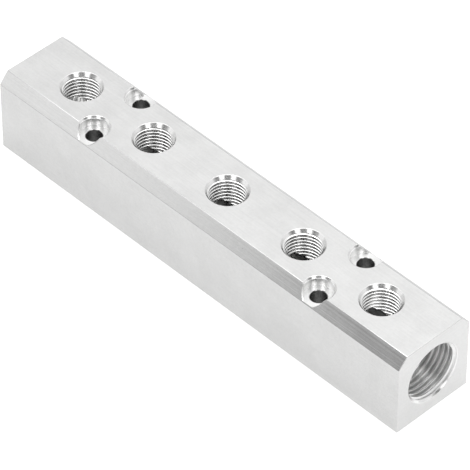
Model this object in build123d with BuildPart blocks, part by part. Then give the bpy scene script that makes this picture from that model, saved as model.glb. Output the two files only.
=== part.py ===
from build123d import *
import os
from math import hypot, radians, tan

# Pneumatic manifold block, millimetres.
# The origin is the centre of the underside. +X runs along the bar and +Z points up through the outlets.

# Bar
bar_width = 30.0
bar_height = 30.0
corner_run = 3.4  # flat on each upper corner, measured across the bar
corner_drop = 3.8  # the same flat, measured down the bar
corner_radius = 0.3  # die radius on the six long corners
end_edge_break = 0.2  # deburred edge round each sawn end

# Outlets in a row along the top, tap-drilled for a G 1/4 thread
outlet_count = 5
outlet_pitch = 33.0
outlet_drill_diameter = 11.8
outlet_mouth_diameter = 14.0
end_margin = 22.0  # from the last outlet's axis to the end of the bar

# End ports on the gallery's axis, tap-drilled for a G 1/2 thread
end_drill_diameter = 19.0
end_mouth_diameter = 21.2
end_web = 2.1  # metal left between an end port's full bore and the nearest outlet
drill_point_angle = 140.0

# Mounting holes for M5 cap screws, midway between the outer pairs of outlets
mount_row_spacing = 20.0
mount_hole_diameter = 5.5
counterbore_diameter = 9.5
counterbore_depth = 3.5
counterbore_edge_break = 0.65  # on the top face
slope_edge_break = 0.4  # on the sloped corners, measured the same way
seat_edge_break = 0.15  # where a screw hole leaves the counterbore's seat
underside_edge_break = 0.3

# Gallery that joins the end ports to every outlet
gallery_web = 1.0  # thinnest metal left between the gallery and a mounting hole
mouth_angle = 90.0  # included angle of every countersunk mouth

# Sizes that follow
half_width = bar_width / 2
bar_length = outlet_pitch * (outlet_count - 1) + 2 * end_margin
half_length = bar_length / 2
top_flat_edge = half_width - corner_run
corner_foot = bar_height - corner_drop
port_axis_height = bar_height / 2
mount_column_spacing = outlet_pitch * (outlet_count - 2)
seat_height = bar_height - counterbore_depth
gallery_radius = (mount_row_spacing - mount_hole_diameter) / 2 - gallery_web
end_bore_depth = end_margin - outlet_drill_diameter / 2 - end_web

# Planes that the holes start from, each with its normal pointing out of the metal
top_face = Plane.XY.offset(bar_height)
seat_face = Plane.XY.offset(seat_height)
underside = Plane(origin=(0, 0, 0), x_dir=(1, 0, 0), z_dir=(0, 0, -1))
right_end = Plane(origin=(half_length, 0, port_axis_height), x_dir=(0, 1, 0), z_dir=(1, 0, 0))
left_end = Plane(origin=(-half_length, 0, port_axis_height), x_dir=(0, -1, 0), z_dir=(-1, 0, 0))

# Edge break where a counterbore runs out through the sloped corner.
# It is a cone sheared to the slope, cut off at the screw seat so that the seat stays flat.
slope_length = hypot(corner_run, corner_drop)
slope_stretch = slope_length / corner_run
counterbore_radius = counterbore_diameter / 2
slope_mouth_radius = counterbore_radius + slope_edge_break
mount_row_offset = mount_row_spacing / 2
slope_height = bar_height + (top_flat_edge - mount_row_offset) * corner_drop / corner_run
slope_face = Plane(
    origin=(0, -mount_row_offset, slope_height),
    x_dir=(1, 0, 0),
    z_dir=(0, -corner_drop, corner_run),
)
slope_foot = Plane(
    origin=(0, -mount_row_offset, slope_height - slope_edge_break),
    x_dir=(1, 0, 0),
    z_dir=(0, -corner_drop, corner_run),
)
with BuildPart() as slope_break:
    with BuildSketch(slope_face):
        Ellipse(slope_mouth_radius, slope_mouth_radius * slope_stretch)
    with BuildSketch(slope_foot):
        Ellipse(counterbore_radius, counterbore_radius * slope_stretch)
    loft(ruled=True)
    split(bisect_by=seat_face, keep=Keep.TOP)

with BuildPart() as manifold_block:
    # Extruded bar with two flats along its upper corners
    with BuildSketch(Plane.YZ.offset(-half_length)) as bar_section:
        with BuildLine():
            Polyline(
                (-half_width, 0),
                (half_width, 0),
                (half_width, corner_foot),
                (top_flat_edge, bar_height),
                (-top_flat_edge, bar_height),
                (-half_width, corner_foot),
                close=True,
            )
        make_face()
        fillet(bar_section.vertices(), radius=corner_radius)
    extrude(amount=bar_length)
    chamfer(manifold_block.faces().filter_by(Axis.X).edges(), length=end_edge_break)

    # Gallery from end to end
    with Locations(right_end):
        Hole(radius=gallery_radius)

    # Outlets, each drilled down to the gallery's axis
    with Locations(top_face):
        with GridLocations(outlet_pitch, 0, outlet_count, 1):
            CounterSinkHole(
                radius=outlet_drill_diameter / 2,
                counter_sink_radius=outlet_mouth_diameter / 2,
                depth=bar_height - port_axis_height,
                counter_sink_angle=mouth_angle,
            )

    # End ports, each with the drill's point running out into the gallery
    end_drill_radius = end_drill_diameter / 2
    point_depth = (end_drill_radius - gallery_radius) / tan(radians(drill_point_angle / 2))
    for end_face in (right_end, left_end):
        with Locations(end_face):
            CounterSinkHole(
                radius=end_drill_radius,
                counter_sink_radius=end_mouth_diameter / 2,
                depth=end_bore_depth,
                counter_sink_angle=mouth_angle,
            )
        with Locations(end_face.offset(-end_bore_depth)):
            Cone(
                bottom_radius=gallery_radius,
                top_radius=end_drill_radius,
                height=point_depth,
                align=(Align.CENTER, Align.CENTER, Align.MAX),
                mode=Mode.SUBTRACT,
            )

    # Counterbored mounting holes, which cut the top face and both sloped corners
    mount_hole_radius = mount_hole_diameter / 2
    with Locations(top_face):
        with GridLocations(mount_column_spacing, mount_row_spacing, 2, 2):
            CounterSinkHole(
                radius=counterbore_radius,
                counter_sink_radius=counterbore_radius + counterbore_edge_break,
                depth=counterbore_depth,
                counter_sink_angle=mouth_angle,
            )
    with Locations(seat_face):
        with GridLocations(mount_column_spacing, mount_row_spacing, 2, 2):
            CounterSinkHole(
                radius=mount_hole_radius,
                counter_sink_radius=mount_hole_radius + seat_edge_break,
                depth=bar_height,
                counter_sink_angle=mouth_angle,
            )
    with Locations(underside):
        with GridLocations(mount_column_spacing, mount_row_spacing, 2, 2):
            CounterSinkHole(
                radius=mount_hole_radius,
                counter_sink_radius=mount_hole_radius + underside_edge_break,
                depth=counterbore_depth,
                counter_sink_angle=mouth_angle,
            )
    for turn in (0, 180):
        with GridLocations(mount_column_spacing, 0, 2, 1):
            add(slope_break.part, rotation=(0, 0, turn), mode=Mode.SUBTRACT)

manifold_block.part.label = "manifold_block"

os.makedirs("parts", exist_ok=True)
export_step(manifold_block.part, "parts/manifold_block.step")
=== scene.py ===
"""Air manifold block with its threads and metal finishes, and the table, light and camera round it.

The block stands on the table with its underside's centre at the origin. Its length lies along X and the
outlets open towards +Z. All sizes are in metres.
"""

import logging
from abc import ABC, abstractmethod
from collections.abc import Iterator, Sequence
from contextlib import contextmanager
from dataclasses import dataclass
from enum import Enum
from math import ceil, cos, pi, radians, sin, tan
from typing import ClassVar

import bmesh
import bpy
import numpy as np
from mathutils import Euler, Matrix, Vector


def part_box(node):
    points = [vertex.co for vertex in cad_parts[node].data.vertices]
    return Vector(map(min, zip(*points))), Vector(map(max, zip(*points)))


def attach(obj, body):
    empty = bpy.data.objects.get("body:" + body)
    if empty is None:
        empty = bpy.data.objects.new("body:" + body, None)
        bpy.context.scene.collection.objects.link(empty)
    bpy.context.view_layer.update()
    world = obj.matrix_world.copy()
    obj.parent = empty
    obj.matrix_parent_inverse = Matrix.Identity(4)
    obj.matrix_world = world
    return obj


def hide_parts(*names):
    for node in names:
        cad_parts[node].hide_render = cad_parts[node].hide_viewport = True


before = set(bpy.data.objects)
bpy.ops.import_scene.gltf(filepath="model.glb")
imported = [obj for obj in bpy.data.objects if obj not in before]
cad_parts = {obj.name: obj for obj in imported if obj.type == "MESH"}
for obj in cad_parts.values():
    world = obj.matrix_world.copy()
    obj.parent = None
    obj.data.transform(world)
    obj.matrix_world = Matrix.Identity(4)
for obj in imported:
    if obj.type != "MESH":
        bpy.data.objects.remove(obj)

MM = 0.001
CAD_NODE = "manifold_block"
BODY = "root"
LAY_MAP = "lay"  # place along and across a tool's path, which the finishes read
TURN_MAP = "turn"  # turn of the tap in each hole
WELD_DISTANCE = 0.001 * MM
CUT_OVERLAP = 1 * MM  # how far a tool's outline is drawn on past a corner
OUTSIDE_SLOPE = radians(8)  # rise of a tool's outline outside the surface
EDGE_POINTS = 6  # corners of a softened edge

log = logging.getLogger("manifold_block")

Point = tuple[float, float]
Socket = bpy.types.NodeSocket
SocketValue = float | int | bool | str | Sequence[float] | Socket


class BarFace(Enum):
    """Faces of the blank bar, each with the number of its finish."""

    SIDE = 0
    TOP = 1
    END = 2
    SLOPE = 3


class BoreFace(Enum):
    """Faces that a stepped screw hole leaves, each with the number of its finish."""

    HOLE = 0
    SEAT = 1
    WALL = 2
    MOUTH = 3


# Wiring of node trees


@dataclass
class Wiring:
    """Adds nodes to one tree and joins them."""

    tree: bpy.types.NodeTree

    def add(
        self, kind: str, inputs: dict[str | int, SocketValue] | None = None, **settings: object
    ) -> bpy.types.Node:
        """Adds one node.

        Args:
            kind: Blender's name of the node's type.
            inputs: values or source sockets, by the input's name or number.
            settings: the node's own properties.

        Returns:
            The new node.
        """
        node = self.tree.nodes.new(kind)
        for name, value in settings.items():
            setattr(node, name, value)
        for name, value in (inputs or {}).items():
            if isinstance(value, Socket):
                self.tree.links.new(value, node.inputs[name])
            else:
                node.inputs[name].default_value = value
        return node

    def math(self, operation: str, *values: SocketValue) -> Socket:
        """Adds a Math node on one to three values and returns its result."""
        return self.add("ShaderNodeMath", dict(enumerate(values)), operation=operation).outputs[0]

    def vector(self, x: SocketValue = 0.0, y: SocketValue = 0.0, z: SocketValue = 0.0) -> Socket:
        """Joins three numbers into a vector."""
        return self.add("ShaderNodeCombineXYZ", {0: x, 1: y, 2: z}).outputs[0]

    def split(self, vector: Socket) -> tuple[Socket, ...]:
        """Takes a vector apart into its three numbers."""
        return tuple(self.add("ShaderNodeSeparateXYZ", {0: vector}).outputs)

    def step(
        self,
        value: SocketValue,
        start: SocketValue,
        end: SocketValue,
        low: SocketValue = 0.0,
        high: SocketValue = 1.0,
    ) -> Socket:
        """Rises smoothly from low to high while value goes from start to end."""
        inputs = {0: value, 1: start, 2: end, 3: low, 4: high}
        return self.add("ShaderNodeMapRange", inputs, interpolation_type="SMOOTHSTEP").outputs[0]

    def swing(self, value: Socket, width: SocketValue) -> Socket:
        """Makes a value between 0 and 1 swing about zero, over the given width."""
        return self.math("MULTIPLY", self.math("SUBTRACT", value, 0.5), width)


def bare_wiring(owner: bpy.types.Material | bpy.types.World) -> Wiring:
    """Turns on the nodes of a material or world and clears them.

    Args:
        owner: the material or world.

    Returns:
        The wiring of its empty tree.
    """
    owner.use_nodes = True
    owner.node_tree.nodes.clear()
    return Wiring(owner.node_tree)


def name_sockets(tree: bpy.types.NodeTree, inputs: dict[str, str], outputs: dict[str, str]) -> None:
    """Gives a tree its named sockets.

    Args:
        tree: the node tree.
        inputs: short name of the type of each input, by the input's name.
        outputs: the same for each output.
    """
    for direction, names in (("INPUT", inputs), ("OUTPUT", outputs)):
        for name, kind in names.items():
            tree.interface.new_socket(name=name, in_out=direction, socket_type=f"NodeSocket{kind}")


# Meshes and the tools that cut them


def in_scene(data: bpy.types.Mesh | bpy.types.Camera) -> bpy.types.Object:
    """Puts a mesh or camera in the scene as an object of the same name.

    Args:
        data: the mesh or camera.

    Returns:
        The object.
    """
    item = bpy.data.objects.new(data.name, data)
    bpy.context.scene.collection.objects.link(item)
    return item


@contextmanager
def edited(mesh: bpy.types.Mesh) -> Iterator[bmesh.types.BMesh]:
    """Opens a mesh for work on its corners, edges and faces, and writes it back after that.

    Args:
        mesh: the mesh.

    Yields:
        The mesh as it is worked on.
    """
    shell = bmesh.new()
    shell.from_mesh(mesh)
    yield shell
    shell.to_mesh(mesh)
    shell.free()


def face_outwards(mesh: bpy.types.Mesh) -> None:
    """Turns every face of a closed mesh outwards."""
    with edited(mesh) as shell:
        bmesh.ops.recalc_face_normals(shell, faces=shell.faces)


def weld(mesh: bpy.types.Mesh) -> None:
    """Joins corners closer together than WELD_DISTANCE, which takes away the slivers between them."""
    with edited(mesh) as shell:
        bmesh.ops.remove_doubles(shell, verts=shell.verts, dist=WELD_DISTANCE)


def finished_mesh(
    name: str, vertices: np.ndarray, faces: Sequence[Sequence[int]], lay: Sequence[Point]
) -> bpy.types.Mesh:
    """Makes a mesh with its lay map.

    Args:
        name: the mesh's name.
        vertices: one row of x, y and z for each vertex.
        faces: the vertex numbers of each face.
        lay: the place along and across the tool's path, for each corner of each face in turn.

    Returns:
        The mesh.
    """
    mesh = bpy.data.meshes.new(name)
    mesh.from_pydata(vertices.tolist(), [], faces)
    mesh.uv_layers.new(name=LAY_MAP).data.foreach_set("uv", np.asarray(lay, np.float32).ravel())
    mesh.polygons.foreach_set("use_smooth", np.ones(len(mesh.polygons), bool))
    mesh.update()
    return mesh


def turned_tool(
    name: str, profile: Sequence[Point], segments: int, bands: Sequence[BoreFace] = ()
) -> bpy.types.Mesh:
    """Turns a profile round the Z axis into a closed solid.

    Args:
        name: the mesh's name.
        profile: radius and height of each corner, from the solid's low end to its high end, off the axis.
        segments: number of flats round the solid.
        bands: the face that each run of the profile leaves, where there is more than one.

    Returns:
        The solid, with both ends closed by flat faces.
    """
    rings = np.asarray(profile, float)
    angles = np.linspace(0, 2 * pi, segments, endpoint=False)
    circle = np.stack([np.cos(angles), np.sin(angles)], -1)
    vertices = np.array([(*(radius * point), height) for radius, height in rings for point in circle])
    travel = np.concatenate([[0], np.cumsum(np.hypot(*np.diff(rings, axis=0).T))])
    mean_radius = rings[:, 0].mean()
    faces: list[list[int]] = []
    lay: list[Point] = []
    for row in range(len(rings) - 1):
        for column in range(segments):
            after = (column + 1) % segments
            low, high = row * segments, (row + 1) * segments
            faces.append([low + column, low + after, high + after, high + column])
            start, end = (mean_radius * 2 * pi * step / segments for step in (column, column + 1))
            near, far = travel[row], travel[row + 1]
            lay += [(start, near), (end, near), (end, far), (start, far)]
    for first, order in ((0, -1), ((len(rings) - 1) * segments, 1)):
        faces.append([first + column for column in range(segments)][::order])
        lay += [(0.0, 0.0)] * segments
    mesh = finished_mesh(name, vertices, faces, lay)
    for face, band in zip(mesh.polygons, np.repeat([band.value for band in bands], segments)):
        face.material_index = int(band)
    return mesh


def tool_object(mesh: bpy.types.Mesh, *finishes: "MetalFinish") -> bpy.types.Object:
    """Puts a tool's mesh in the scene, ready to cut with.

    Args:
        mesh: the tool's mesh.
        finishes: the finishes that it leaves on the metal, in the order of their numbers.

    Returns:
        The tool.
    """
    for finish in finishes:
        mesh.materials.append(finish.build())
    return in_scene(mesh)


def placed_copies(mesh: bpy.types.Mesh, places: Sequence[Matrix]) -> bpy.types.Mesh:
    """Joins copies of one mesh.

    Args:
        mesh: the mesh to copy.
        places: the move and turn of each copy.

    Returns:
        One mesh with all the copies.
    """
    joined = bmesh.new()
    for place in places:
        copy = mesh.copy()
        copy.transform(place)
        joined.from_mesh(copy)
        bpy.data.meshes.remove(copy)
    result = bpy.data.meshes.new(mesh.name + "_set")
    joined.to_mesh(result)
    joined.free()
    return result


def plain_mesh(source: bpy.types.Object) -> bpy.types.Mesh:
    """Takes an object's mesh with its modifiers' work done, and removes the modifiers.

    Args:
        source: the object with the modifiers.

    Returns:
        The new mesh.
    """
    depsgraph = bpy.context.evaluated_depsgraph_get()
    evaluated = source.evaluated_get(depsgraph)
    mesh = bpy.data.meshes.new_from_object(evaluated, preserve_all_data_layers=True, depsgraph=depsgraph)
    source.modifiers.clear()
    return mesh


def cut(work: bpy.types.Object, tool: bpy.types.Object) -> None:
    """Takes a tool's solid out of the work, leaving the tool's finish on the cut faces.

    Args:
        work: the object that is cut.
        tool: the tool, which is used up.
    """
    modifier = work.modifiers.new("cut", "BOOLEAN")
    modifier.operation = "DIFFERENCE"
    modifier.solver = "MANIFOLD"
    modifier.material_mode = "TRANSFER"
    modifier.object = tool
    before = work.data
    work.data = plain_mesh(work)
    bpy.data.meshes.remove(before)
    log.info("cut %s: %d faces", tool.name, len(work.data.polygons))
    bpy.data.meshes.remove(tool.data)


# Effects that several finishes share


@dataclass(frozen=True)
class Effect(ABC):
    """A shader node group that is built once and placed in each finish with its own values."""

    name: str

    @abstractmethod
    def wire(self, tree: bpy.types.ShaderNodeTree) -> None:
        """Adds the group's sockets and nodes to its empty tree."""

    def group(self) -> bpy.types.ShaderNodeTree:
        """Builds the group, or finds it where an earlier finish has built it.

        Returns:
            The group's tree.
        """
        tree = bpy.data.node_groups.get(self.name)
        if tree is None:
            tree = bpy.data.node_groups.new(self.name, "ShaderNodeTree")
            self.wire(tree)
        return tree

    def place(self, wiring: Wiring, **values: SocketValue) -> Socket:
        """Places the group in a finish.

        Args:
            wiring: the finish's wiring.
            values: the group's inputs by name, with underscores for spaces.

        Returns:
            The group's output.
        """
        named = {name.replace("_", " "): value for name, value in values.items()}
        return wiring.add("ShaderNodeGroup", named, node_tree=self.group()).outputs[0]


@dataclass(frozen=True)
class ToolMarks(Effect):
    """Fine parallel lines along the path of a tool, in a fine and a coarse size."""

    name: str = "tool_marks"
    line_sizes: tuple[float, float] = (1.0, 6.0)
    faintest: float = 0.25
    strongest: float = 0.75

    def wire(self, tree: bpy.types.ShaderNodeTree) -> None:
        """Adds the group's sockets and nodes.

        Args:
            tree: the group's empty tree.
        """
        inputs = {"Line Width": "Float", "Line Length": "Float", "Coarse Share": "Float", "Seed": "Float"}
        name_sockets(tree, inputs, {"Lines": "Float"})
        wiring = Wiring(tree)
        entry = wiring.add("NodeGroupInput").outputs
        along, across, _ = wiring.split(wiring.add("ShaderNodeUVMap", uv_map=LAY_MAP).outputs[0])
        layers = []
        for size in self.line_sizes:
            length = wiring.math("DIVIDE", wiring.math("DIVIDE", along, entry["Line Length"]), size)
            width = wiring.math("DIVIDE", wiring.math("DIVIDE", across, entry["Line Width"]), size)
            spot = wiring.vector(length, width, wiring.math("ADD", entry["Seed"], size))
            settings = {"Vector": spot, "Scale": 1.0, "Detail": 2.0, "Roughness": 0.6}
            layers.append(wiring.add("ShaderNodeTexNoise", settings).outputs[0])
        mixed = wiring.add("ShaderNodeMix", {0: entry["Coarse Share"], 2: layers[0], 3: layers[1]}).outputs[0]
        wiring.add("NodeGroupOutput", {"Lines": wiring.step(mixed, self.faintest, self.strongest)})


@dataclass(frozen=True)
class Specks(Effect):
    """Small pits and nicks, few and far between."""

    name: str = "specks"
    smallest: float = 0.4

    def wire(self, tree: bpy.types.ShaderNodeTree) -> None:
        """Adds the group's sockets and nodes.

        Args:
            tree: the group's empty tree.
        """
        name_sockets(tree, {"Spacing": "Float", "Size": "Float", "Share": "Float"}, {"Specks": "Float"})
        wiring = Wiring(tree)
        entry = wiring.add("NodeGroupInput").outputs
        place = wiring.add("ShaderNodeTexCoord").outputs["Object"]
        scale = wiring.math("DIVIDE", 1.0, entry["Spacing"])
        cells = wiring.add("ShaderNodeTexVoronoi", {"Vector": place, "Scale": scale})
        reach = wiring.math("DIVIDE", entry["Size"], entry["Spacing"])
        pick, size_pick, _ = wiring.split(cells.outputs["Color"])
        own_reach = wiring.math("MULTIPLY", reach, wiring.math("ADD", size_pick, self.smallest))
        spot = wiring.step(cells.outputs["Distance"], own_reach, 0.0)
        chosen = wiring.math("LESS_THAN", pick, entry["Share"])
        wiring.add("NodeGroupOutput", {"Specks": wiring.math("MULTIPLY", spot, chosen)})


@dataclass(frozen=True)
class Haze(Effect):
    """Soft cloudy variation, as oil and handling leave on bare metal."""

    name: str = "haze"
    faintest: float = 0.3
    strongest: float = 0.7

    def wire(self, tree: bpy.types.ShaderNodeTree) -> None:
        """Adds the group's sockets and nodes.

        Args:
            tree: the group's empty tree.
        """
        name_sockets(tree, {"Size": "Float", "Seed": "Float"}, {"Haze": "Float"})
        wiring = Wiring(tree)
        entry = wiring.add("NodeGroupInput").outputs
        place = wiring.add("ShaderNodeTexCoord").outputs["Object"]
        scale = wiring.math("DIVIDE", 1.0, entry["Size"])
        settings = {"Vector": place, "W": entry["Seed"], "Scale": scale, "Detail": 4.0, "Roughness": 0.55}
        noise = wiring.add("ShaderNodeTexNoise", settings, noise_dimensions="4D")
        wiring.add("NodeGroupOutput", {"Haze": wiring.step(noise.outputs[0], self.faintest, self.strongest)})


# Finishes


@dataclass(frozen=True)
class MetalFinish:
    """Bare aluminium with the marks of one way of working it. In some finishes the tone is lowered as painted
    shade.
    """

    name: str
    tone: float
    roughness: float
    tone_lines: float = 0.04
    tone_haze: float = 0.03
    tone_grain: float = 0.03
    haze_size: float = 9 * MM
    grain_size: float = 0.7 * MM
    blue_share: float = 0.995
    roughness_lines: float = 0.06
    roughness_haze: float = 0.03
    line_width: float = 0.08 * MM
    line_length: float = 12 * MM
    coarse_share: float = 0.4
    line_depth: float = 0.002 * MM
    sheen_stretch: float = 0.5
    edge_tint: float = 1.0
    speck_spacing: float = 4 * MM
    speck_size: float = 0.12 * MM
    speck_share: float = 0.1
    speck_depth: float = 0.03 * MM
    speck_darkening: float = 0.45
    seed: float = 0.0
    GRAIN_SEED: ClassVar[float] = 20.0
    SHEEN_TURN: ClassVar[float] = 0.25  # turns the sheen along the tool's path

    def colour(self, wiring: Wiring, lines: Socket, specks: Socket, haze: Socket) -> Socket:
        """Wires the metal's colour.

        Args:
            wiring: the material's wiring.
            lines: the tool's marks.
            specks: the pits and nicks.
            haze: the soft variation.

        Returns:
            The colour.
        """
        grain = Haze().place(wiring, Size=self.grain_size, Seed=self.seed + self.GRAIN_SEED)
        marks = wiring.swing(lines, self.tone_lines)
        cloud = wiring.swing(haze, self.tone_haze)
        speckle = wiring.swing(grain, self.tone_grain)
        tone = wiring.math("ADD", wiring.math("ADD", wiring.math("ADD", marks, cloud), speckle), self.tone)
        left = wiring.math("SUBTRACT", 1.0, wiring.math("MULTIPLY", specks, self.speck_darkening))
        pitted = wiring.math("MULTIPLY", tone, left)
        blue = wiring.math("MULTIPLY", pitted, self.blue_share)
        return wiring.add("ShaderNodeCombineColor", {0: pitted, 1: pitted, 2: blue}).outputs[0]

    def build(self) -> bpy.types.Material:
        """Builds the finish's material, or finds it where an earlier feature has built it.

        Returns:
            The material, with colour, roughness and relief from its nodes.
        """
        material = bpy.data.materials.get(self.name)
        if material is not None:
            return material
        material = bpy.data.materials.new(self.name)
        wiring = bare_wiring(material)
        lines = ToolMarks().place(
            wiring,
            Line_Width=self.line_width,
            Line_Length=self.line_length,
            Coarse_Share=self.coarse_share,
            Seed=self.seed,
        )
        specks = Specks().place(
            wiring, Spacing=self.speck_spacing, Size=self.speck_size, Share=self.speck_share
        )
        haze = Haze().place(wiring, Size=self.haze_size, Seed=self.seed)
        rough_lines = wiring.swing(lines, self.roughness_lines)
        rough_haze = wiring.math("MULTIPLY", haze, self.roughness_haze)
        ridges = wiring.math("MULTIPLY", lines, self.line_depth)
        pits = wiring.math("MULTIPLY", specks, -self.speck_depth)
        relief = {"Height": wiring.math("ADD", ridges, pits), "Distance": 1.0, "Strength": 1.0}
        tangent = wiring.add("ShaderNodeTangent", direction_type="UV_MAP", uv_map=LAY_MAP).outputs[0]
        look = {
            "Base Color": self.colour(wiring, lines, specks, haze),
            "Metallic": 1.0,
            "Roughness": wiring.math("ADD", wiring.math("ADD", rough_lines, rough_haze), self.roughness),
            "Specular Tint": (self.edge_tint, self.edge_tint, self.edge_tint, 1.0),
            "Normal": wiring.add("ShaderNodeBump", relief).outputs[0],
            "Anisotropic": self.sheen_stretch,
            "Anisotropic Rotation": self.SHEEN_TURN,
            "Tangent": tangent,
        }
        metal = wiring.add("ShaderNodeBsdfPrincipled", look)
        wiring.add("ShaderNodeOutputMaterial", {"Surface": metal.outputs[0]})
        return material


@dataclass(frozen=True)
class BoredFinish(MetalFinish):
    """Aluminium worked by a tool that turns, which leaves lines right round the hole and no pits."""

    line_width: float = 0.06 * MM
    line_length: float = 4000 * MM
    speck_share: float = 0.0


@dataclass(frozen=True)
class PaleTable:
    """Plain matt white of the table, which is lit a little from below."""

    name: str = "pale_table"
    tone: float = 0.4
    glow: float = 0.7
    tone_haze: float = 0.006
    haze_size: float = 60 * MM
    seed: float = 3.0

    def build(self) -> bpy.types.Material:
        """Builds the table's material.

        Returns:
            The material.
        """
        material = bpy.data.materials.new(self.name)
        wiring = bare_wiring(material)
        haze = Haze().place(wiring, Size=self.haze_size, Seed=self.seed)
        tone = wiring.math("ADD", wiring.math("MULTIPLY", haze, self.tone_haze), self.tone)
        colour = wiring.add("ShaderNodeCombineColor", {0: tone, 1: tone, 2: tone}).outputs[0]
        look = {
            "Base Color": colour,
            "Roughness": 1.0,
            "Specular IOR Level": 0.0,
            "Emission Color": (1.0, 1.0, 1.0, 1.0),
            "Emission Strength": self.glow,
        }
        matt = wiring.add("ShaderNodeBsdfPrincipled", look)
        wiring.add("ShaderNodeOutputMaterial", {"Surface": matt.outputs[0]})
        return material


EXTRUDED_SKIN = MetalFinish(
    "extruded_skin",
    tone=0.615,
    roughness=0.16,
    tone_lines=0.05,
    line_length=60 * MM,
    edge_tint=0.8,
    speck_size=0.3 * MM,
    speck_share=0.025,
    seed=1.0,
)
MILLED_TOP = MetalFinish(
    "milled_top",
    tone=0.695,
    roughness=0.3,
    tone_lines=0.085,
    tone_haze=0.04,
    line_width=0.12 * MM,
    line_length=7 * MM,
    sheen_stretch=0.6,
)
SAWN_END = MetalFinish(
    "sawn_end", tone=0.685, roughness=0.36, line_length=8 * MM, sheen_stretch=0.3, seed=2.0
)
DIE_LINED_SLOPE = MetalFinish(
    "die_lined_slope",
    tone=0.67,
    roughness=0.12,
    tone_lines=0.13,
    roughness_lines=0.1,
    line_length=90 * MM,
    coarse_share=0.6,
    edge_tint=0.6,
    seed=7.0,
)
BAR_FINISHES = {
    BarFace.SIDE: EXTRUDED_SKIN,
    BarFace.TOP: MILLED_TOP,
    BarFace.END: SAWN_END,
    BarFace.SLOPE: DIE_LINED_SLOPE,
}

TURNED_WALL = BoredFinish(
    "turned_wall", tone=0.79, roughness=0.2, line_width=0.05 * MM, sheen_stretch=0.8, seed=3.0
)
TAPPED_THREAD = BoredFinish("tapped_thread", tone=0.95, roughness=0.24, line_width=0.04 * MM, seed=4.0)
# Crests of the outlets' threads: the tone is held far below bare aluminium as painted shade, for the dark
# lines between the bright flanks.
CREST_WITH_PAINTED_SHADE = BoredFinish("drilled_crest", tone=0.36, roughness=0.27, seed=11.0)
# Thread of the end ports: the same tapped aluminium as the outlets' thread, with a lower tone that is painted
# shade for the grey bands in its grooves.
END_THREAD_WITH_PAINTED_SHADE = BoredFinish("end_thread", tone=0.78, roughness=0.28, line_width=0.04 * MM, seed=8.0)
END_BORE = BoredFinish("end_bore", tone=0.96, roughness=0.34, seed=9.0)
GALLERY_WALL = BoredFinish("gallery_wall", tone=0.89, roughness=0.3, seed=13.0)
# Walls of the screw holes: drilled aluminium whose lowered tone is partly painted shade, darkening the narrow
# holes.
SCREW_HOLE_WALL_WITH_PAINTED_SHADE = BoredFinish("drilled_wall", tone=0.68, roughness=0.24, seed=5.0)
SPOT_FACE = BoredFinish("spot_face", tone=0.8, roughness=0.3, seed=12.0)
COUNTERBORED_WALL = BoredFinish("counterbored_wall", tone=0.93, roughness=0.28, seed=6.0)
BROKEN_EDGE = MetalFinish(
    "broken_edge", tone=0.68, roughness=0.3, sheen_stretch=0.3, speck_share=0.0, seed=10.0
)


# Tapped threads


@dataclass(frozen=True)
class PipeThread:
    """Parallel pipe thread, cut in a hole of the tap drill's size."""

    major_radius: float
    pitch: float
    drill_radius: float
    crest_rounding: float = 0.1 * MM
    thread_angle: float = 55.0
    root_rounding: float = 0.1373  # share of the pitch
    support: float = 0.05 * MM

    @property
    def flank_slope(self) -> float:
        """Run of a flank along the axis for each unit of its depth."""
        return tan(radians(self.thread_angle / 2))

    def profile(self) -> list[Point]:
        """Works out one pitch of the tap's outline.

        Returns:
            Radius and height of each corner, with a supporting point at each end of a flank.
        """
        rounding = self.root_rounding * self.pitch
        half_angle = radians(self.thread_angle / 2)
        centre = self.major_radius - rounding
        root_half = rounding * cos(half_angle)
        root_shoulder = centre + rounding * sin(half_angle)
        edge = root_half + (root_shoulder - self.drill_radius) * self.flank_slope
        crest_turn = pi / 2 - half_angle
        crest_foot = edge + self.crest_rounding * tan(crest_turn / 2)
        crest = [
            (
                self.drill_radius + self.crest_rounding * (1 - cos(turn)),
                -crest_foot + self.crest_rounding * sin(turn),
            )
            for turn in (0.0, crest_turn / 2, crest_turn)
        ]
        flank_start = crest[-1]
        lower = [
            *crest,
            (flank_start[0] + self.support, flank_start[1] + self.support * self.flank_slope),
            (root_shoulder - self.support, -root_half - self.support * self.flank_slope),
            (root_shoulder, -root_half),
        ]
        upper = [(radius, -height) for radius, height in reversed(lower)]
        return [*lower, (self.major_radius, 0.0), *upper]


@dataclass(frozen=True)
class TappedHole:
    """Place of one tapped hole: where its tap's tip ends, which way it points and where the thread starts."""

    tip: Vector
    axis: Vector
    start_angle: float = 0.0

    def turn(self) -> Euler:
        """Turn that brings the tool's own +Z to the hole's axis, after the start angle about it."""
        aim = self.axis.to_track_quat("Z", "Y").to_matrix()
        return (aim @ Matrix.Rotation(radians(self.start_angle), 3, "Z")).to_euler()


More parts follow.
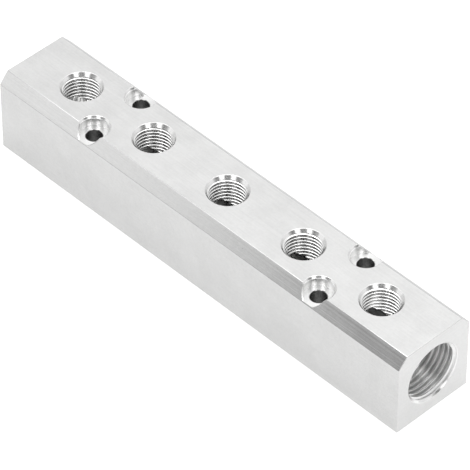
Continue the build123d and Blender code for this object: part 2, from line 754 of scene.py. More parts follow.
@dataclass
class TapTree:
    """Geometry nodes that wind a tap's outline round its axis, close it and set a copy at each hole."""

    wiring: Wiring
    entry: bpy.types.NodeOutputs
    merge_distance: float = 0.0001 * MM
    crest_reach: float = 0.01 * MM  # how far outside the drill's radius a face still counts as crest
    radius_share: float = 1.3  # how much the radius counts in the place across the tap's path
    NAME: ClassVar[str] = "tap_along_helix"
    INPUTS: ClassVar[dict[str, str]] = {
        "Outline": "Geometry",
        "Holes": "Object",
        "Pitch": "Float",
        "Turns": "Int",
        "Segments": "Int",
        "Run Out": "Float",
        "Fade": "Float",
        "Crest Radius": "Float",
        "Flank Finish": "Material",
        "Crest Finish": "Material",
    }

    @classmethod
    def build(cls) -> bpy.types.GeometryNodeTree:
        """Builds the tree, or finds it where an earlier tap has built it.

        Returns:
            The tree. Its first geometry is one pitch of the outline, with radius as X and height as Z.
        """
        tree = bpy.data.node_groups.get(cls.NAME)
        if tree is not None:
            return tree
        tree = bpy.data.node_groups.new(cls.NAME, "GeometryNodeTree")
        name_sockets(tree, cls.INPUTS, {"Taps": "Geometry"})
        wiring = Wiring(tree)
        nodes = cls(wiring, wiring.add("NodeGroupInput").outputs)
        taps = nodes.copied(nodes.dressed(nodes.closed(nodes.wound())))
        wiring.add("NodeGroupOutput", {"Taps": taps})
        return tree

    def position(self) -> Socket:
        """Place of the point that a node works on."""
        return self.wiring.add("GeometryNodeInputPosition").outputs[0]

    def placed(self, mesh: Socket, place: Socket, chosen: SocketValue = True) -> Socket:
        """Moves corners of a mesh and joins those that come to lie in one place.

        Args:
            mesh: the mesh.
            place: where the corners go.
            chosen: which of them move.

        Returns:
            The mesh after that.
        """
        move = {"Geometry": mesh, "Selection": chosen, "Position": place}
        moved = self.wiring.add("GeometryNodeSetPosition", move).outputs[0]
        join = {"Geometry": moved, "Distance": self.merge_distance}
        return self.wiring.add("GeometryNodeMergeByDistance", join).outputs[0]

    def wound(self) -> Socket:
        """Winds the outline round the axis, with one column of a flat sheet for each part of a turn.

        Returns:
            The wound sheet, open at both ends, with its lay map.
        """
        wiring, entry = self.wiring, self.entry
        corners = wiring.add("GeometryNodeAttributeDomainSize", {0: entry["Outline"]}).outputs["Point Count"]
        rows = wiring.math("MULTIPLY", entry["Turns"], corners)
        size = {
            "Size X": entry["Segments"],
            "Size Y": rows,
            "Vertices X": wiring.math("ADD", entry["Segments"], 1.0),
            "Vertices Y": wiring.math("ADD", rows, 1.0),
        }
        sheet = wiring.add("GeometryNodeMeshGrid", size).outputs[0]
        sheet_x, sheet_y, _ = wiring.split(self.position())
        half_columns = wiring.math("DIVIDE", entry["Segments"], 2.0)
        column = wiring.math("ROUND", wiring.math("ADD", sheet_x, half_columns))
        row = wiring.math("ROUND", wiring.math("ADD", sheet_y, wiring.math("DIVIDE", rows, 2.0)))
        part_turn = wiring.math("DIVIDE", column, entry["Segments"])
        whole_turns = wiring.math("FLOOR", wiring.math("DIVIDE", wiring.math("ADD", row, 0.5), corners))
        corner = wiring.math("SUBTRACT", row, wiring.math("MULTIPLY", whole_turns, corners))
        pick = {0: entry["Outline"], "Value": self.position(), "Index": corner}
        picked = wiring.add("GeometryNodeSampleIndex", pick, data_type="FLOAT_VECTOR", domain="POINT")
        radius, _, rise = wiring.split(picked.outputs[0])
        lead = wiring.math("MULTIPLY", wiring.math("ADD", whole_turns, part_turn), entry["Pitch"])
        height = wiring.math("ADD", rise, lead)
        drawn_in = wiring.step(height, entry["Run Out"], 0.0, 0.0, entry["Fade"])
        faded = wiring.math("SUBTRACT", radius, drawn_in)
        angle = wiring.math("MULTIPLY", part_turn, 2 * pi)
        x = wiring.math("MULTIPLY", faded, wiring.math("COSINE", angle))
        y = wiring.math("MULTIPLY", faded, wiring.math("SINE", angle))
        along = wiring.math("MULTIPLY", angle, radius)
        across = wiring.math("ADD", height, wiring.math("MULTIPLY", radius, self.radius_share))
        lay = {"Geometry": sheet, "Name": LAY_MAP, "Value": wiring.vector(along, across)}
        marked = wiring.add("GeometryNodeStoreNamedAttribute", lay, data_type="FLOAT2", domain="CORNER")
        return self.placed(marked.outputs[0], wiring.vector(x, y, height))

    def closed(self, sheet: Socket) -> Socket:
        """Closes both ends of the wound sheet towards the axis.

        Args:
            sheet: the wound sheet.

        Returns:
            The closed solid.
        """
        wiring, entry = self.wiring, self.entry
        faces_beside = wiring.add("GeometryNodeInputMeshEdgeNeighbors").outputs[0]
        rim = {"Mesh": sheet, "Selection": wiring.math("LESS_THAN", faces_beside, 1.5), "Offset Scale": 0.0}
        capped = wiring.add("GeometryNodeExtrudeMesh", rim, mode="EDGES").outputs
        rim_height = wiring.split(self.position())[2]
        reach = wiring.math("MULTIPLY", wiring.math("ADD", entry["Turns"], 1.0), entry["Pitch"])
        upper = wiring.math("GREATER_THAN", rim_height, wiring.math("MULTIPLY", reach, 0.5))
        tip = wiring.vector(z=wiring.math("MULTIPLY", upper, reach))
        return self.placed(capped["Mesh"], tip, capped["Top"])

    def dressed(self, solid: Socket) -> Socket:
        """Gives the flanks and the crests their finishes.

        Args:
            solid: the closed solid.

        Returns:
            The solid with its finishes.
        """
        wiring, entry = self.wiring, self.entry
        x, y, _ = wiring.split(self.position())
        squares = wiring.math("ADD", wiring.math("MULTIPLY", x, x), wiring.math("MULTIPLY", y, y))
        limit = wiring.math("ADD", entry["Crest Radius"], self.crest_reach)
        on_crest = wiring.math("LESS_THAN", wiring.math("SQRT", squares), limit)
        flanks = {"Geometry": solid, "Material": entry["Flank Finish"]}
        crests = {
            "Geometry": wiring.add("GeometryNodeSetMaterial", flanks).outputs[0],
            "Selection": on_crest,
            "Material": entry["Crest Finish"],
        }
        return wiring.add("GeometryNodeSetMaterial", crests).outputs[0]

    def copied(self, solid: Socket) -> Socket:
        """Sets a copy of the tap at each hole.

        Args:
            solid: the finished tap.

        Returns:
            The taps as plain geometry.
        """
        wiring = self.wiring
        holes = wiring.add("GeometryNodeObjectInfo", {"Object": self.entry["Holes"]}).outputs["Geometry"]
        turn = wiring.add("GeometryNodeInputNamedAttribute", {"Name": TURN_MAP}, data_type="FLOAT_VECTOR")
        rotation = wiring.add("FunctionNodeEulerToRotation", {0: turn.outputs[0]}).outputs[0]
        copies = {"Points": holes, "Instance": solid, "Rotation": rotation}
        taps = wiring.add("GeometryNodeInstanceOnPoints", copies).outputs[0]
        return wiring.add("GeometryNodeRealizeInstances", {"Geometry": taps}).outputs[0]


@dataclass
class TapSet:
    """Solids of a tap in a row of like holes, made with geometry nodes from one pitch of its outline."""

    name: str
    thread: PipeThread
    depth: float
    segments: int
    run_out: float = 0.0
    fade: float = 0.0

    def outline_object(self) -> bpy.types.Object:
        """Makes the object that holds one pitch of the tap's outline.

        Returns:
            The object, whose mesh is loose points.
        """
        mesh = bpy.data.meshes.new(self.name + "_outline")
        mesh.from_pydata([(radius, 0.0, height) for radius, height in self.thread.profile()], [], [])
        return in_scene(mesh)

    def holes_object(self, holes: Sequence[TappedHole]) -> bpy.types.Object:
        """Makes the object whose points are the tips of the tap.

        Args:
            holes: where the tap goes.

        Returns:
            The object, whose points carry the turn of the tap.
        """
        mesh = bpy.data.meshes.new(self.name + "_holes")
        mesh.from_pydata([hole.tip for hole in holes], [], [])
        turns = mesh.attributes.new(TURN_MAP, "FLOAT_VECTOR", "POINT")
        turns.data.foreach_set("vector", [angle for hole in holes for angle in hole.turn()])
        return in_scene(mesh)

    def build(
        self, holes: Sequence[TappedHole], flanks: MetalFinish, crests: MetalFinish
    ) -> bpy.types.Object:
        """Makes the taps' solids in all the holes.

        Args:
            holes: where the tap goes.
            flanks: the finish that it leaves in the thread.
            crests: the drill's finish, which stays between the turns.

        Returns:
            One object with a closed solid for each hole.
        """
        outline = self.outline_object()
        points = self.holes_object(holes)
        modifier = outline.modifiers.new("tap", "NODES")
        modifier.node_group = TapTree.build()
        values = {
            "Holes": points,
            "Pitch": self.thread.pitch,
            "Turns": ceil(self.depth / self.thread.pitch) + 1,
            "Segments": self.segments,
            "Run Out": self.run_out,
            "Fade": self.fade,
            "Crest Radius": self.thread.drill_radius,
            "Flank Finish": flanks.build(),
            "Crest Finish": crests.build(),
        }
        for item in modifier.node_group.interface.items_tree:
            if item.in_out == "INPUT" and item.name in values:
                modifier[item.identifier] = values[item.name]
        mesh = plain_mesh(outline)
        mesh.name = self.name
        mesh.attributes.remove(mesh.attributes[TURN_MAP])
        face_outwards(mesh)
        bpy.data.objects.remove(outline)
        bpy.data.objects.remove(points)
        log.info("%s: %d faces in %d holes", self.name, len(mesh.polygons), len(holes))
        return in_scene(mesh)


# Soft edges


def softened_edge(before: Point, corner: Point, after: Point, soft: float) -> list[Point]:
    """Rounds one corner of an outline.

    Args:
        before: a point on the run that comes to the corner.
        corner: the sharp corner.
        after: a point on the run that leaves it.
        soft: length of each run that the rounding takes.

    Returns:
        EDGE_POINTS points round the corner. The first and last support the runs, so that they shade flat.
    """
    here = Vector(corner)
    inward, outward = ((Vector(end) - here).normalized() for end in (before, after))
    start, end = here + inward * soft, here + outward * soft
    rounding = [start.lerp(here, step).lerp(here.lerp(end, step), step) for step in (0.0, 0.33, 0.67, 1.0)]
    support = soft * 0.3
    return [tuple(point) for point in (start + inward * support, *rounding, end + outward * support)]


def softened_mouth(
    wall_radius: float, mouth_radius: float, level: float, foot_soft: float, rim_soft: float
) -> list[Point]:
    """Draws a countersunk mouth of 90 degrees with its two edges softened.

    Args:
        wall_radius: radius of the hole under the mouth.
        mouth_radius: radius of the mouth at the surface.
        level: height of the surface along the hole's axis.
        foot_soft: size of the soft edge at the hole's wall.
        rim_soft: size of the soft edge at the surface.

    Returns:
        Radius and height of EDGE_POINTS corners at the wall and of as many at the surface. The last one is
        a little outside the surface.
    """
    foot = (wall_radius, level - (mouth_radius - wall_radius))
    rim = (mouth_radius, level)
    wall = (wall_radius, foot[1] - CUT_OVERLAP)
    aside, above = CUT_OVERLAP * cos(OUTSIDE_SLOPE), CUT_OVERLAP * sin(OUTSIDE_SLOPE)
    outside = (mouth_radius + aside, level + above)
    return [*softened_edge(wall, foot, rim, foot_soft), *softened_edge(foot, rim, outside, rim_soft)]


# The block


@dataclass
class BlankBar:
    """Extruded bar, sawn to length, before any hole is cut."""

    length: float
    width: float
    height: float
    corner_run: float = 3.4 * MM
    corner_drop: float = 3.8 * MM
    corner_radius: float = 0.3 * MM
    corner_steps: int = 4
    end_break: float = 0.2 * MM
    end_steps: int = 3
    FLAT: ClassVar[float] = cos(radians(0.5))  # least alignment of a face that counts as flat
    TILTED: ClassVar[float] = cos(radians(60))  # least rise of a face that belongs to a sloped corner

    @property
    def axis_height(self) -> float:
        """Height of the gallery's axis, midway up the bar."""
        return self.height / 2

    @property
    def slope(self) -> float:
        """Fall of a sloped corner for each unit across the bar."""
        return self.corner_drop / self.corner_run

    def slope_level(self, across: float) -> float:
        """Height of a sloped corner's plane at a distance from the middle."""
        return self.height + (self.width / 2 - self.corner_run - across) * self.slope

    def corners(self) -> list[Vector]:
        """Finds the sharp corners of the section.

        Returns:
            Y and Z of each corner in order, starting at the foot of the right side.
        """
        half = self.width / 2
        foot, flat = self.height - self.corner_drop, half - self.corner_run
        right = [Vector((half, 0.0)), Vector((half, foot)), Vector((flat, self.height))]
        left = [Vector((-flat, self.height)), Vector((-half, foot)), Vector((-half, 0.0))]
        return [*right, *left]

    def section(self, inset: float) -> list[Vector]:
        """Works out the rounded outline of the section.

        Args:
            inset: how far the outline is drawn in.

        Returns:
            Y and Z of each point in order.
        """
        corners = self.corners()
        outline: list[Vector] = []
        for index, corner in enumerate(corners):
            before = (corner - corners[index - 1]).normalized()
            after = (corners[(index + 1) % len(corners)] - corner).normalized()
            normals = [Vector((edge.y, -edge.x)) for edge in (before, after)]
            bisector = (normals[0] + normals[1]).normalized()
            centre = corner - bisector * self.corner_radius / bisector.dot(normals[0])
            for step in range(self.corner_steps + 1):
                normal = normals[0].slerp(normals[1], step / self.corner_steps)
                outline.append(centre + normal * (self.corner_radius - inset))
        return outline

    def stations(self) -> list[tuple[float, float]]:
        """Sets out the cross-sections along the bar.

        Returns:
            X of each from the left end to the right, and how far the broken edge of the end draws it in.
        """
        half = self.length / 2
        turns = [pi / 2 * step / self.end_steps for step in range(self.end_steps + 1)]
        right = [
            (half - self.end_break * (1 - sin(turn)), self.end_break * (1 - cos(turn)))
            for turn in turns
        ]
        return [*[(-x, inset) for x, inset in reversed(right)], *right]

    def skin(self) -> bpy.types.Mesh:
        """Makes the bar's closed mesh with its lay map.

        Returns:
            The mesh, without finishes.
        """
        loops = [[(x, *point) for point in self.section(inset)] for x, inset in self.stations()]
        count = len(loops[0])
        widest = [Vector(point) for point in loops[self.end_steps + 1]]
        runs = [(after - before).length for before, after in zip(widest, [*widest[1:], widest[0]])]
        girth = np.cumsum([0.0, *runs])
        faces: list[list[int]] = []
        lay: list[Point] = []
        for row in range(len(loops) - 1):
            here, there = row * count, (row + 1) * count
            for index in range(count):
                after = (index + 1) % count
                faces.append([here + index, here + after, there + after, there + index])
                start, end = loops[row][index][0], loops[row + 1][index][0]
                low, high = girth[index], girth[index + 1]
                lay += [(start, low), (start, high), (end, high), (end, low)]
        for loop, first, order in ((loops[0], 0, -1), (loops[-1], (len(loops) - 1) * count, 1)):
            faces.append([first + index for index in range(count)][::order])
            lay += [(point[1], point[2]) for point in loop][::order]
        mesh = finished_mesh("block_body", np.array([point for loop in loops for point in loop]), faces, lay)
        face_outwards(mesh)
        return mesh

    def face_kind(self, normal: Vector) -> BarFace:
        """Tells which of the bar's faces looks a given way.

        Args:
            normal: outward direction of the face.

        Returns:
            The kind of face.
        """
        if abs(normal.x) > self.FLAT:
            return BarFace.END
        if normal.z > self.FLAT:
            return BarFace.TOP
        return BarFace.SLOPE if normal.z > self.TILTED else BarFace.SIDE

    def build(self) -> bpy.types.Object:
        """Builds the bar as one closed mesh in its finishes.

        Returns:
            The bar's object.
        """
        mesh = self.skin()
        for kind in BarFace:
            mesh.materials.append(BAR_FINISHES[kind].build())
        for face in mesh.polygons:
            face.material_index = self.face_kind(face.normal).value
        log.info("blank bar: %d faces", len(mesh.polygons))
        return in_scene(mesh)

    def flat_normals(self) -> list[Vector]:
        """Finds the outward direction of each flat side and end.

        Returns:
            The directions, the ends last.
        """
        corners = self.corners()
        sides = [after - before for before, after in zip(corners, [*corners[1:], corners[0]])]
        outward = [Vector((0, side.y, -side.x)).normalized() for side in sides]
        return [*outward, Vector((1, 0, 0)), Vector((-1, 0, 0))]

    def shade(self, mesh: bpy.types.Mesh) -> None:
        """Shades the flat sides flat and everything else smooth.

        Args:
            mesh: the bar's mesh, with its holes cut.
        """
        normals = self.flat_normals()
        for face in mesh.polygons:
            on_bar = face.material_index < len(BarFace)
            face.use_smooth = not (on_bar and any(face.normal.dot(normal) > self.FLAT for normal in normals))


class Machining(ABC):
    """One step of the work on the bar."""

    @abstractmethod
    def cut_from(self, work: bpy.types.Object) -> None:
        """Cuts this step's holes in the work."""


@dataclass
class Gallery(Machining):
    """Drilled passage from end to end, which joins every port."""

    bar: BlankBar
    radius: float = 6.25 * MM
    reach: float = 79 * MM
    segments: int = 96

    def cut_from(self, work: bpy.types.Object) -> None:
        """Drills the gallery.

        Args:
            work: the object that is cut.
        """
        ends = [(self.radius, -self.reach), (self.radius, self.reach)]
        drill = turned_tool("gallery_drill", ends, self.segments)
        drill.transform(Matrix.Translation((0, 0, self.bar.axis_height)) @ Matrix.Rotation(pi / 2, 4, "Y"))
        cut(work, tool_object(drill, GALLERY_WALL))


@dataclass
class TappedPorts(Machining):
    """Ports of one size, each with a countersunk mouth over a tapped hole."""

    bar: BlankBar
    thread: PipeThread
    mouth_radius: float
    tap_depth: float
    soft: float
    start_angles: tuple[float, ...]
    segments: int

    @property
    @abstractmethod
    def surface(self) -> float:
        """Level of the surface that the ports open in, along a tool's axis."""

    @property
    def tip(self) -> float:
        """Level where the tap's tip ends, along its axis."""
        return self.surface - self.tap_depth

    @abstractmethod
    def places(self) -> list[Matrix]:
        """Place of a tool in each port."""

    def countersink(self, name: str) -> bpy.types.Object:
        """Makes the cones that open the mouths.

        Args:
            name: the tool's name.

        Returns:
            The tool, from inside each hole to outside the surface.
        """
        drill_radius = self.thread.drill_radius
        mouth = softened_mouth(drill_radius, self.mouth_radius, self.surface, self.soft, self.soft)
        foot = self.surface - (self.mouth_radius - drill_radius)
        inside = (drill_radius - CUT_OVERLAP, foot - CUT_OVERLAP)
        cone = turned_tool(name, [inside, *mouth[EDGE_POINTS:]], self.segments)
        return tool_object(placed_copies(cone, self.places()), TURNED_WALL)


@dataclass
class EndPorts(TappedPorts):
    """The two large tapped ports, one in each end."""

    thread: PipeThread = PipeThread(major_radius=10.4775 * MM, pitch=1.814 * MM, drill_radius=9.5 * MM)
    mouth_radius: float = 10.6 * MM
    tap_depth: float = 12.1 * MM
    soft: float = 0.12 * MM
    start_angles: tuple[float, ...] = (0.0, -140.0)
    segments: int = 96
    bore_depth: float = 14 * MM
    drill_point_angle: float = 140.0
    point_radius: float = 5.5 * MM  # where the drill's point has run out into the gallery
    wall_allowance: float = 0.005 * MM  # keeps the bore's wall inside the thread's crests
    bore_overlap: float = 0.1 * MM
    run_out: float = 2.5 * MM
    fade: float = 1.1 * MM
    SIDES: ClassVar[tuple[int, int]] = (-1, 1)

    @property
    def surface(self) -> float:
        """Distance of each end from the bar's middle."""
        return self.bar.length / 2

    def places(self) -> list[Matrix]:
        """Turns a tool from +Z to each port's axis, with the tool's zero at the bar's middle."""
        lift = Matrix.Translation((0, 0, self.bar.axis_height))
        return [lift @ Matrix.Rotation(side * pi / 2, 4, "Y") for side in self.SIDES]

    def drill(self) -> bpy.types.Object:
        """Makes the drills.

        Returns:
            The tool, from inside the gallery to the end of the tap's run-out.
        """
        floor = self.surface - self.bore_depth
        point_slope = 1 / tan(radians(self.drill_point_angle / 2))
        wall = self.thread.drill_radius - self.wall_allowance
        outline = [
            (self.point_radius, floor - (wall - self.point_radius) * point_slope),
            (wall, floor),
            (wall, self.tip + self.run_out + self.bore_overlap),
        ]
        drill = turned_tool("end_port_drill", outline, self.segments)
        return tool_object(placed_copies(drill, self.places()), END_BORE)

    def cut_from(self, work: bpy.types.Object) -> None:
        """Drills, countersinks and taps both ports.

        Args:
            work: the object that is cut.
        """
        cut(work, self.drill())
        cut(work, self.countersink("end_port_countersink"))
        holes = [
            TappedHole(Vector((side * self.tip, 0, self.bar.axis_height)), Vector((side, 0, 0)), angle)
            for side, angle in zip(self.SIDES, self.start_angles)
        ]
        taps = TapSet("end_port_tap", self.thread, self.tap_depth, self.segments, self.run_out, self.fade)
        cut(work, taps.build(holes, END_THREAD_WITH_PAINTED_SHADE, END_BORE))


@dataclass
class Outlets(TappedPorts):
    """The row of tapped outlets along the top, with one start angle for each."""

    thread: PipeThread = PipeThread(
        major_radius=6.5785 * MM, pitch=1.337 * MM, drill_radius=5.9 * MM, crest_rounding=0.05 * MM
    )
    mouth_radius: float = 7.0 * MM
    tap_depth: float = 13.1 * MM
    soft: float = 0.1 * MM
    start_angles: tuple[float, ...] = (45.0, 45.0, 10.0, -10.0, -5.0)
    segments: int = 72
    spacing: float = 33 * MM

    @property
    def surface(self) -> float:
        """Height of the bar's top."""
        return self.bar.height

    def centres(self) -> list[float]:
        """X of each outlet's axis."""
        middle = (len(self.start_angles) - 1) / 2
        return [(index - middle) * self.spacing for index in range(len(self.start_angles))]

    def places(self) -> list[Matrix]:
        """Moves a tool to each outlet's axis, with the tool's zero at the underside."""
        return [Matrix.Translation((x, 0, 0)) for x in self.centres()]

    def cut_from(self, work: bpy.types.Object) -> None:
        """Countersinks and taps all the outlets.

        Args:
            work: the object that is cut.
        """
        cut(work, self.countersink("outlet_countersink"))
        holes = [
            TappedHole(Vector((x, 0, self.tip)), Vector((0, 0, 1)), angle)
            for x, angle in zip(self.centres(), self.start_angles)
        ]
        taps = TapSet("outlet_tap", self.thread, self.tap_depth, self.segments)
        # The outlets' crests take a finish whose dark tone is painted shade.
        cut(work, taps.build(holes, TAPPED_THREAD, CREST_WITH_PAINTED_SHADE))


@dataclass
class MountingHoles(Machining):
    """Four counterbored screw holes, which run out through the sloped corners."""

    bar: BlankBar
    column_spacing: float = 99 * MM
    row_spacing: float = 20 * MM
    hole_radius: float = 2.75 * MM
    bore_radius: float = 4.75 * MM
    bore_depth: float = 3.5 * MM
    top_break: float = 0.65 * MM
    slope_break: float = 0.4 * MM
    seat_break: float = 0.15 * MM
    underside_break: float = 0.3 * MM
    clearance: float = 0.5 * MM
    foot_soft: float = 0.22 * MM
    rim_soft: float = 0.08 * MM
    segments: int = 96
    BANDS: ClassVar[tuple[BoreFace, ...]] = (
        *[BoreFace.HOLE] * 3,
        BoreFace.SEAT,
        *[BoreFace.WALL] * EDGE_POINTS,
        *[BoreFace.MOUTH] * EDGE_POINTS,
    )
    FINISHES: ClassVar[dict[BoreFace, MetalFinish]] = {
        BoreFace.HOLE: SCREW_HOLE_WALL_WITH_PAINTED_SHADE,
        BoreFace.SEAT: SPOT_FACE,
        BoreFace.WALL: COUNTERBORED_WALL,
        BoreFace.MOUTH: TURNED_WALL,
    }

    @property
    def seat(self) -> float:
        """Height of the flat that a screw's head sits on."""
        return self.bar.height - self.bore_depth

    def places(self, sides: Sequence[int] = (-1, 1)) -> list[Matrix]:
        """Moves a tool to the holes' axes on the given sides of the bar."""
        x, y = self.column_spacing / 2, self.row_spacing / 2
        return [Matrix.Translation((end * x, side * y, 0)) for end in (-1, 1) for side in sides]

    def outline(self) -> list[Point]:
        """Draws the stepped tool.

        Returns:
            Radius and height of each corner, from under the bar to above it, with one run for each of BANDS.
        """
        mouth_radius = self.bore_radius + self.top_break
        top = self.bar.height
        return [
            (self.hole_radius + self.underside_break + self.clearance, -self.clearance),
            (self.hole_radius, self.underside_break),
            (self.hole_radius, self.seat - self.seat_break),
            (self.hole_radius + self.seat_break, self.seat),
            (self.bore_radius, self.seat),
            *softened_mouth(self.bore_radius, mouth_radius, top, self.foot_soft, self.rim_soft),
        ]

    def slope_tool(self, side: int) -> bpy.types.Mesh:
        """Makes the cone that breaks a counterbore's edge on a sloped corner.

        Args:
            side: 1 for the corner towards +Y and -1 for the other.

        Returns:
            The cone, sheared to the slope and cut off at the screw's seat.
        """
        mouth_radius = self.bore_radius + self.slope_break + self.clearance
        cone = [(self.bore_radius, -self.slope_break), (mouth_radius, self.clearance)]
        mesh = turned_tool("slope_break", cone, self.segments)
        shear = Matrix.Identity(4)
        shear[2][1] = -side * self.bar.slope
        mesh.transform(Matrix.Translation((0, 0, self.bar.slope_level(self.row_spacing / 2))) @ shear)
        with edited(mesh) as shell:
            everything = [*shell.verts, *shell.edges, *shell.faces]
            section = bmesh.ops.bisect_plane(
                shell, geom=everything, plane_co=(0, 0, self.seat), plane_no=(0, 0, 1), clear_inner=True
            )
            edges = [item for item in section["geom_cut"] if isinstance(item, bmesh.types.BMEdge)]
            bmesh.ops.contextual_create(shell, geom=edges)
            bmesh.ops.recalc_face_normals(shell, faces=shell.faces)
        return mesh

    def cut_from(self, work: bpy.types.Object) -> None:
        """Drills and counterbores the four holes and breaks their edges on the slopes.

        Args:
            work: the object that is cut.
        """
        drill = turned_tool("screw_counterbore", self.outline(), self.segments, self.BANDS)
        finishes = [self.FINISHES[face] for face in BoreFace]
        cut(work, tool_object(placed_copies(drill, self.places()), *finishes))
        for side in (-1, 1):
            cone = placed_copies(self.slope_tool(side), self.places([side]))
            cut(work, tool_object(cone, BROKEN_EDGE))


@dataclass
class ManifoldBlock:
    """The whole block: the bar with its gallery, ports and screw holes."""

    sharp_angle: float = 40.0

    def build(self) -> bpy.types.Object:
        """Makes the block and puts it in the place of the plain solid.

        Returns:
            The block's object.
        """
        low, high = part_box(CAD_NODE)
        bar = BlankBar(*(high - low))
        work = bar.build()
        for step in (Gallery(bar), EndPorts(bar), Outlets(bar), MountingHoles(bar)):
            step.cut_from(work)
        weld(work.data)
        work.data.set_sharp_from_angle(angle=radians(self.sharp_angle))
        bar.shade(work.data)
        work.data.name = work.name
        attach(work, BODY)
        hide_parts(CAD_NODE)
        triangles = sum(len(face.vertices) - 2 for face in work.data.polygons)
        finishes = [material.name for material in work.data.materials]
        log.info("%s: %d triangles, finishes %s", work.name, triangles, finishes)
        return work


# The studio


@dataclass(frozen=True)
class SoftPanel:
    """A bright or dark part of the studio, in degrees round from the camera's side and above the table."""

    name: str
    azimuth: float
    half_width: float
    low: float
    high: float
    softness: float
    brightness: float

    def over(self, wiring: Wiring, azimuth: Socket, elevation: Socket, under: SocketValue) -> Socket:
        """Lays the panel over what is under it.

        Args:
            wiring: the world's wiring.
            azimuth: direction round the block.
            elevation: direction above the table.
            under: brightness without the panel.

        Returns:
            Brightness with the panel.
        """
        half = self.softness / 2
        offset = wiring.math("SUBTRACT", azimuth, self.azimuth)
        away = wiring.math("ABSOLUTE", wiring.math("WRAP", offset, 180.0, -180.0))
        inside = wiring.step(away, self.half_width + half, self.half_width - half)
        above = wiring.step(elevation, self.low - half, self.low + half)
        below = wiring.step(elevation, self.high + half, self.high - half)
        mask = wiring.math("MULTIPLY", inside, wiring.math("MULTIPLY", above, below))
        change = wiring.math("MULTIPLY", wiring.math("SUBTRACT", self.brightness, under), mask)
        return wiring.math("ADD", under, change)


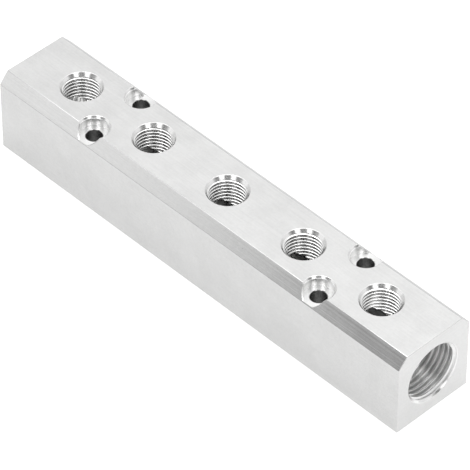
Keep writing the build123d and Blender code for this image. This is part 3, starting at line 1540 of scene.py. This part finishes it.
@dataclass
class Studio:
    """Table, light and camera. A later panel lies over an earlier one."""

    camera_azimuth: float = 46.001
    camera_elevation: float = 43.942
    camera_roll: float = -0.045
    camera_offset: tuple[float, float] = (2.205 * MM, 7.957 * MM)
    camera_distance: float = 1307.854 * MM
    focal_pixels: float = 4209.69
    frame_pixels: float = 470.0
    sensor_width: float = 36.0
    clip_factor: float = 10.0
    table_radius: float = 300 * MM
    table_gap: float = 0.01 * MM
    table_segments: int = 192
    room_brightness: float = 0.95
    seen_background: float = 1.05
    panels: tuple[SoftPanel, ...] = (
        SoftPanel("left_wall", -100.0, 24.0, 5.0, 60.0, 6.0, 1.12),
        SoftPanel("front_grey", -1.6, 78.6, 8.0, 66.0, 3.0, 0.4),
        SoftPanel("front_dark", 0.0, 68.0, 10.0, 66.0, 10.0, 0.19),
        SoftPanel("left_softbox", -32.5, 12.5, 12.0, 62.0, 4.0, 1.7),
        SoftPanel("right_softbox", 32.5, 12.5, 12.0, 62.0, 4.0, 1.7),
        SoftPanel("left_wing", -96.0, 26.0, 50.0, 72.0, 8.0, 2.4),
        SoftPanel("right_wing", 96.0, 26.0, 50.0, 72.0, 8.0, 1.5),
        SoftPanel("overhead", 0.0, 181.0, 65.0, 110.0, 8.0, 4.0),
        SoftPanel("zenith", 0.0, 181.0, 79.0, 110.0, 5.0, 1.9),
        SoftPanel("gap_over_camera", 0.0, 36.0, 70.0, 110.0, 10.0, 2.2),
        SoftPanel("gap_behind", 180.0, 40.0, 70.0, 110.0, 10.0, 1.4),
        SoftPanel("rear", 180.0, 70.0, 0.0, 46.0, 8.0, 0.84),
        SoftPanel("rear_upper", 180.0, 70.0, 46.0, 66.0, 6.0, 1.5),
        SoftPanel("left_horizon", -82.0, 16.0, -6.0, 15.0, 4.0, 0.32),
        SoftPanel("rear_horizon", 178.0, 34.0, -6.0, 10.0, 4.0, 0.5),
        SoftPanel("low_front", 8.0, 26.0, -8.0, 20.0, 6.0, 1.1),
        SoftPanel("low_right", 78.0, 16.0, -8.0, 26.0, 6.0, 1.05),
        SoftPanel("below_table", 0.0, 181.0, -100.0, -4.0, 3.0, 0.5),
    )

    def light(self) -> None:
        """Sets the soft light round the block, which the camera sees as a plain pale ground."""
        world = bpy.data.worlds.new("soft_studio")
        bpy.context.scene.world = world
        wiring = bare_wiring(world)
        direction = wiring.add("ShaderNodeTexCoord").outputs["Generated"]
        toward = radians(self.camera_azimuth) - pi / 2
        turn = {"Vector": direction, "Angle": -toward}
        turned = wiring.add("ShaderNodeVectorRotate", turn, rotation_type="Z_AXIS").outputs[0]
        ahead, aside, up = wiring.split(turned)
        azimuth = wiring.math("DEGREES", wiring.math("ARCTAN2", aside, ahead))
        elevation = wiring.math("DEGREES", wiring.math("ARCSINE", up))
        brightness: SocketValue = self.room_brightness
        for panel in self.panels:
            brightness = panel.over(wiring, azimuth, elevation, brightness)
        seen = wiring.add("ShaderNodeLightPath").outputs["Is Camera Ray"]
        shown = wiring.add("ShaderNodeMix", {0: seen, 2: brightness, 3: self.seen_background}).outputs[0]
        ground = wiring.add("ShaderNodeBackground", {"Color": wiring.vector(shown, shown, shown)})
        wiring.add("ShaderNodeOutputWorld", {"Surface": ground.outputs[0]})
        log.info("light: %d panels", len(self.panels))

    def table(self) -> bpy.types.Object:
        """Makes the round table top that the block stands on.

        Returns:
            The table top.
        """
        mesh = bpy.data.meshes.new("table_top")
        with edited(mesh) as shell:
            bmesh.ops.create_circle(
                shell, cap_ends=True, segments=self.table_segments, radius=self.table_radius
            )
            bmesh.ops.translate(shell, verts=shell.verts, vec=(0, 0, -self.table_gap))
        mesh.materials.append(PaleTable().build())
        top = in_scene(mesh)
        log.info("table: %.0f mm across", 2 * self.table_radius / MM)
        return top

    def camera(self) -> bpy.types.Object:
        """Sets up the camera where the photograph was taken from.

        Returns:
            The camera.
        """
        azimuth, elevation = radians(self.camera_azimuth), radians(self.camera_elevation)
        back = Vector((sin(azimuth) * cos(elevation), -cos(azimuth) * cos(elevation), sin(elevation)))
        level = Vector((cos(azimuth), sin(azimuth), 0))
        rise = back.cross(level)
        roll = radians(self.camera_roll)
        right, up = level * cos(roll) + rise * sin(roll), rise * cos(roll) - level * sin(roll)
        lens = bpy.data.cameras.new("photo_camera")
        lens.sensor_width = self.sensor_width
        lens.lens = self.focal_pixels * self.sensor_width / self.frame_pixels
        lens.clip_start = self.camera_distance / self.clip_factor
        lens.clip_end = self.camera_distance * self.clip_factor
        camera = in_scene(lens)
        place = right * self.camera_offset[0] + up * self.camera_offset[1] + back * self.camera_distance
        camera.matrix_world = Matrix.Translation(place) @ Matrix((right, up, back)).transposed().to_4x4()
        bpy.context.scene.camera = camera
        log.info("camera: %.0f mm away", self.camera_distance / MM)
        return camera

    def build(self) -> None:
        """Sets up the table, light and camera."""
        self.table()
        self.light()
        self.camera()
        bpy.context.scene.view_settings.view_transform = "Standard"


def main() -> None:
    """Builds the block and the studio."""
    logging.basicConfig(level=logging.INFO, format="%(name)s: %(message)s")
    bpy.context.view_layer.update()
    ManifoldBlock().build()
    Studio().build()


if __name__ == "__main__":
    main()
